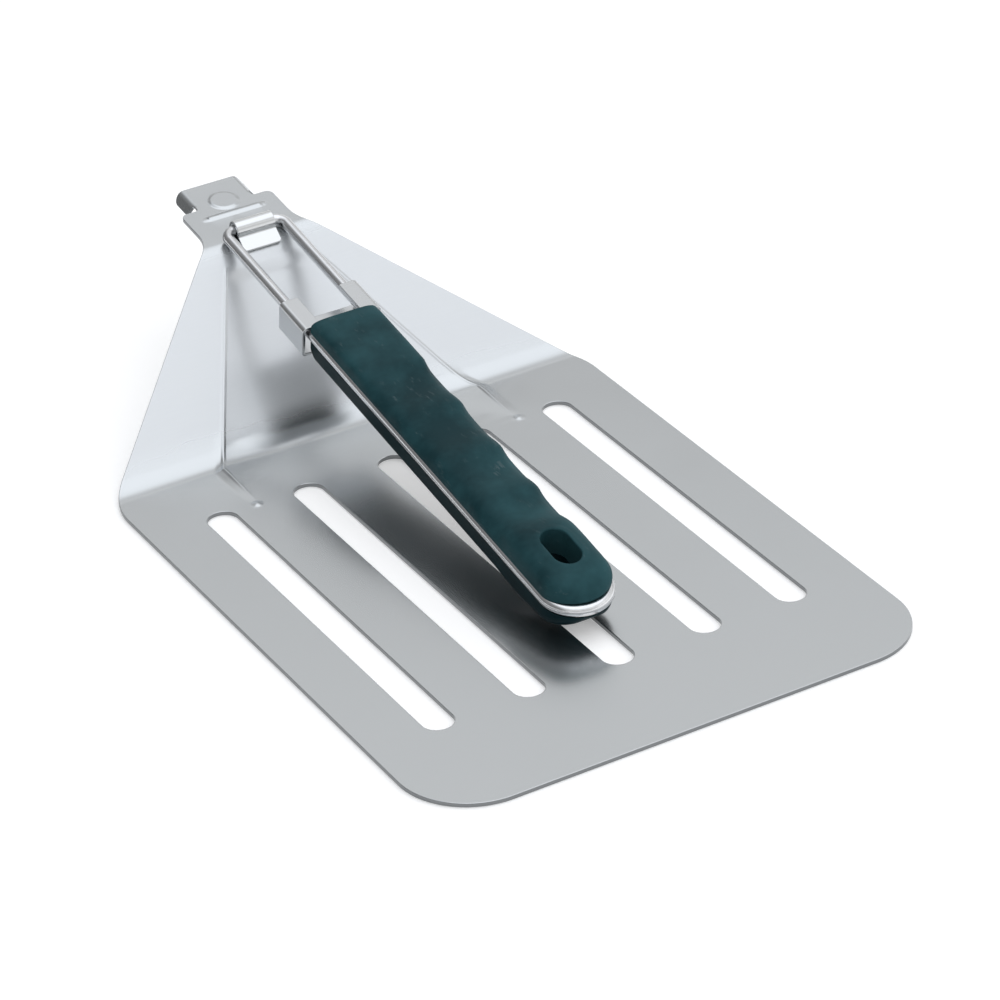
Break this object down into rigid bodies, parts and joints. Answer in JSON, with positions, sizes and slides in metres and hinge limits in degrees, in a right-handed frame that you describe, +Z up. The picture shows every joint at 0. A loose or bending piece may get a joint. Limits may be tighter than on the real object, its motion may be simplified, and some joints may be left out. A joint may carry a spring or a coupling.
{
  "type": "folding pizza peel",
  "caption": "Slotted sheet-steel pizza peel with a raised neck, and a wire handle with a soft grip that folds over the blade and locks open with a sliding collar",
  "frame": {"origin": "middle of the footprint on the blade's underside", "axes": "+X across the blade, +Y from the blade's front edge to the tongue, +Z up"},
  "size_m": [0.18, 0.3162, 0.0544],
  "materials": {
    "blade_steel": "fine brushed sheet",
    "strap_steel": "bright sheet",
    "wire_chrome": "bright plated wire",
    "collar_steel": "satin sheet",
    "core_plastic": "moulded",
    "cover_rubber": "matt soft-touch"
  },
  "bodies": {
    "blade": {"blade": "blade_steel", "hinge_strap": "strap_steel"},
    "handle": {"wire_bail": "wire_chrome", "grip_core": "core_plastic", "grip_cover": "cover_rubber"},
    "collar": {"lock_collar": "collar_steel"}
  },
  "joints": [
    {"name": "handle_fold", "type": "hinge", "parent": "blade", "child": "handle", "pos_m": [0, 0.12394, 0.05092], "axis": [-1, 0, 0], "range_deg": [0, 182.15]},
    {"name": "collar_slide", "type": "slide", "parent": "handle", "child": "collar", "axis": [0, 0.9379, 0.3468], "range_m": [0, 0.02641]}
  ]
}
